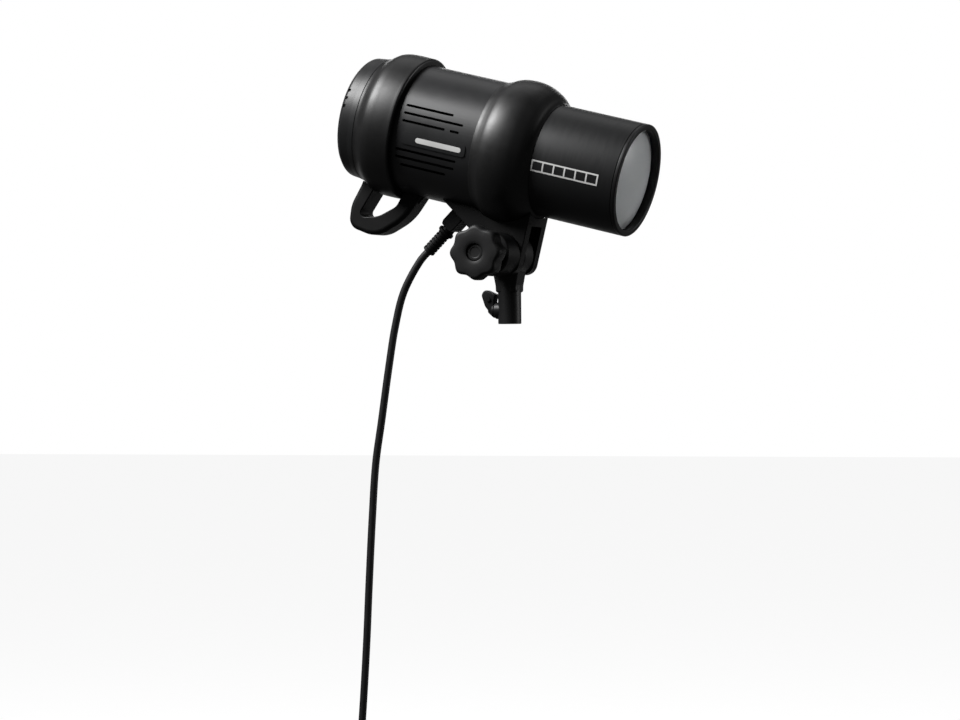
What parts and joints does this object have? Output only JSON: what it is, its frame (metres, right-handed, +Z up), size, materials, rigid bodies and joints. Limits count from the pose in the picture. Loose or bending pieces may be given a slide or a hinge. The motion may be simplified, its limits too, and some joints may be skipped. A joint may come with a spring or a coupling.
{
  "type": "monolight strobe",
  "caption": "Studio flash head with a round barrel, front accessory tube, rear handle and controls, tilting stand bracket and a coiled mains lead.",
  "frame": {"origin": "centre of the stand socket's mouth, where a stand's spigot enters", "axes": "+X is the way the head points when level, +Z up along the socket, Y along the tilt axis"},
  "size_m": [0.4878, 0.1877, 1.0158],
  "materials": {
    "housing_paint": "satin",
    "soft_touch": "soft-touch matte",
    "black_plastic": "fine moulded texture",
    "cap_plastic": "satin",
    "dark_metal": "black anodised satin",
    "steel": "bright plated",
    "reflector": "bright satin",
    "frosted_glass": "frosted",
    "clear_window": "glossy",
    "circuit_board": "coated",
    "capacitor": "sleeved",
    "ceramic": "glazed",
    "badge": "printed",
    "cord_pvc": "matte",
    "fibre": "pressed fibre",
    "switch_lens": "glossy"
  },
  "bodies": {
    "bracket": {"stand_bracket": "dark_metal", "washer_left": "fibre", "washer_right": "fibre", "mains_lead": "cord_pvc", "mains_lead_coil": "cord_pvc", "mains_lead_tail": "cord_pvc", "coil_tie": "black_plastic", "mains_plug": "black_plastic", "plug_pin_1": "steel", "plug_pin_2": "steel"},
    "head": {"badge_left": "badge", "badge_right": "badge", "bulkhead": "dark_metal", "capacitor_1": "capacitor", "capacitor_2": "capacitor", "capacitor_3": "capacitor", "capacitor_4": "capacitor", "chassis_plate": "steel", "control_board": "circuit_board", "control_panel": "black_plastic", "dial_encoder": "dark_metal", "display_window": "clear_window", "fan_frame": "black_plastic", "flash_tube": "frosted_glass", "front_bumper": "soft_touch", "front_glass": "frosted_glass", "glass_gasket": "soft_touch", "handle": "black_plastic", "housing_left": "housing_paint", "housing_right": "housing_paint", "knob_boss": "black_plastic", "mains_connector": "black_plastic", "mains_inlet": "black_plastic", "modelling_lamp": "frosted_glass", "mount_lug": "black_plastic", "mount_tube": "dark_metal", "power_board": "circuit_board", "rear_bumper": "soft_touch", "rear_cap": "cap_plastic", "reflector_dish": "reflector", "retaining_ring": "dark_metal", "slave_sensor": "clear_window", "strain_relief": "black_plastic", "switch_bezel": "black_plastic", "sync_jack": "steel", "tilt_nut": "dark_metal", "tube_base": "ceramic"},
    "lock": {"lock_screw": "steel", "lock_lever": "black_plastic"},
    "knob": {"tilt_bolt": "dark_metal", "tilt_knob": "soft_touch", "knob_cap": "dark_metal"},
    "fan": {"fan_rotor": "black_plastic"},
    "dial": {"control_dial": "soft_touch"},
    "rocker": {"power_switch": "switch_lens"},
    "key_1": {"button_1": "soft_touch"},
    "key_2": {"button_2": "soft_touch"},
    "key_3": {"button_3": "soft_touch"},
    "key_4": {"button_4": "soft_touch"}
  },
  "joints": [
    {"name": "head_tilt", "type": "hinge", "parent": "bracket", "child": "head", "pos_m": [0, 0, 0.062], "axis": [0, 1, 0], "range_deg": [-43, 75], "deforming": ["mains_lead"]},
    {"name": "tilt_knob_turn", "type": "hinge", "parent": "head", "child": "knob", "pos_m": [0, -0.065, 0.062], "axis": [0, -1, 0], "range_deg": [0, 270]},
    {"name": "stand_lock_turn", "type": "hinge", "parent": "bracket", "child": "lock", "pos_m": [-0.016, 0, 0.012], "axis": [-1, 0, 0], "range_deg": [0, 180]},
    {"name": "dial_turn", "type": "hinge", "parent": "head", "child": "dial", "pos_m": [-0.14669, 0, 0.18814], "axis": [0.9699, 0, -0.2436], "continuous": true},
    {"name": "fan_spin", "type": "hinge", "parent": "head", "child": "fan", "pos_m": [-0.10789, 0, 0.18252], "axis": [0.9699, 0, -0.2436], "continuous": true},
    {"name": "power_rock", "type": "hinge", "parent": "head", "child": "rocker", "pos_m": [-0.14893, 0, 0.15622], "axis": [0, -1, 0], "range_deg": [0, 14]},
    {"name": "button_1_press", "type": "slide", "parent": "head", "child": "key_1", "axis": [0.9699, 0, -0.2436], "range_m": [0, 0.0008], "stiffness_N_per_m": 800},
    {"name": "button_2_press", "type": "slide", "parent": "head", "child": "key_2", "axis": [0.9699, 0, -0.2436], "range_m": [0, 0.0008], "stiffness_N_per_m": 800},
    {"name": "button_3_press", "type": "slide", "parent": "head", "child": "key_3", "axis": [0.9699, 0, -0.2436], "range_m": [0, 0.0008], "stiffness_N_per_m": 800},
    {"name": "button_4_press", "type": "slide", "parent": "head", "child": "key_4", "axis": [0.9699, 0, -0.2436], "range_m": [0, 0.0008], "stiffness_N_per_m": 800}
  ]
}
